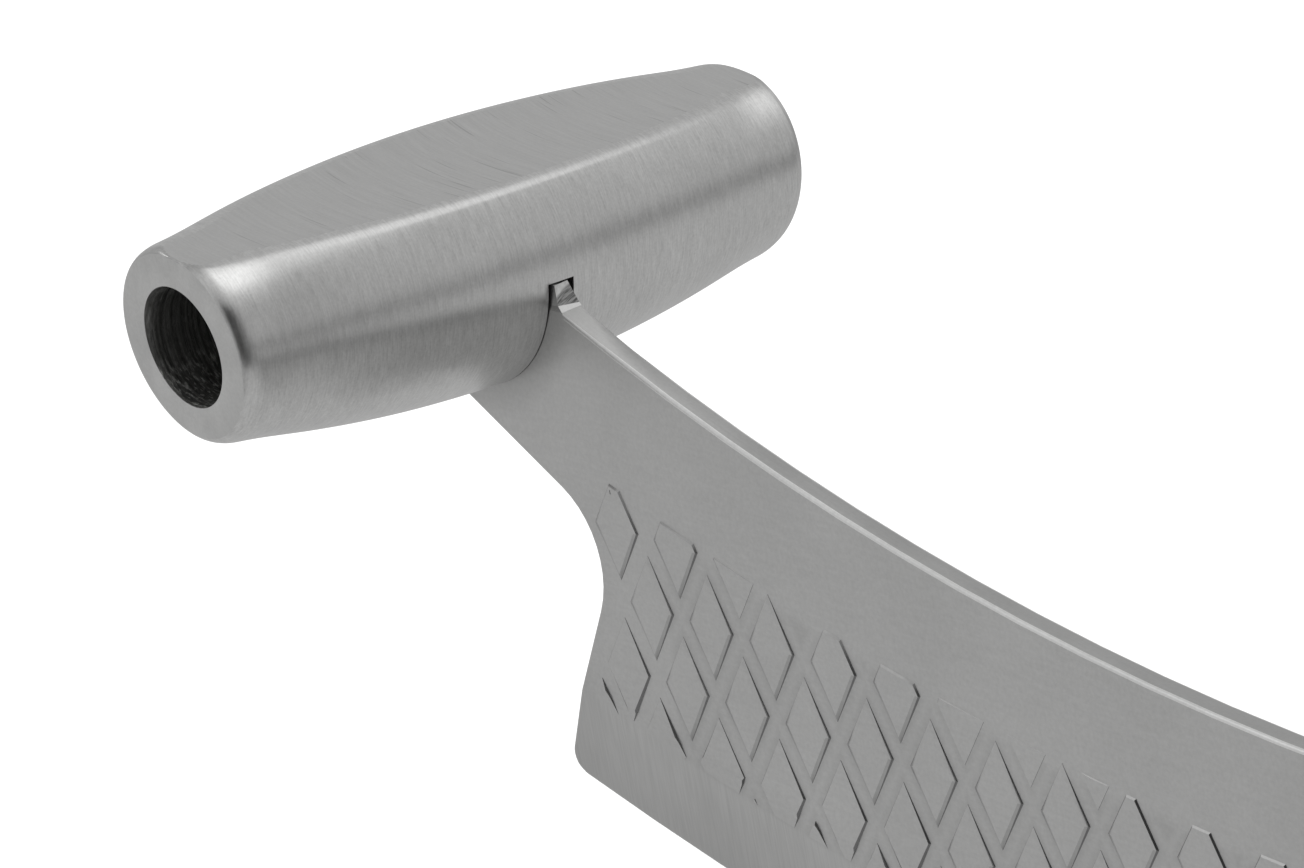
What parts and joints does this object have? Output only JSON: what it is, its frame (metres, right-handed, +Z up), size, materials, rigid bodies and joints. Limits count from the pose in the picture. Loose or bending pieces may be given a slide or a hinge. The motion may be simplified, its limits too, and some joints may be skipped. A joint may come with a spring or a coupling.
{
  "type": "cheese knife",
  "caption": "Rocking cheese knife: arched steel blade with diamond pads and a barrel cross handle on the tang at each end.",
  "frame": {"origin": "middle of the bounding box in X and Y, at the lowest point of the cutting edge", "axes": "+X along the blade from the left handle to the right one, +Y along the handles away from the front, +Z up from the edge to the handles"},
  "size_m": [0.3212, 0.0836, 0.0909],
  "materials": {
    "blade_steel": "fine ground, across the blade",
    "handle_steel": "brushed round the barrel",
    "pin_steel": "ground"
  },
  "bodies": {
    "root": {"blade": "blade_steel", "left_handle": "handle_steel", "right_handle": "handle_steel", "left_pin_upper": "pin_steel", "left_pin_lower": "pin_steel", "right_pin_upper": "pin_steel", "right_pin_lower": "pin_steel"}
  },
  "joints": []
}
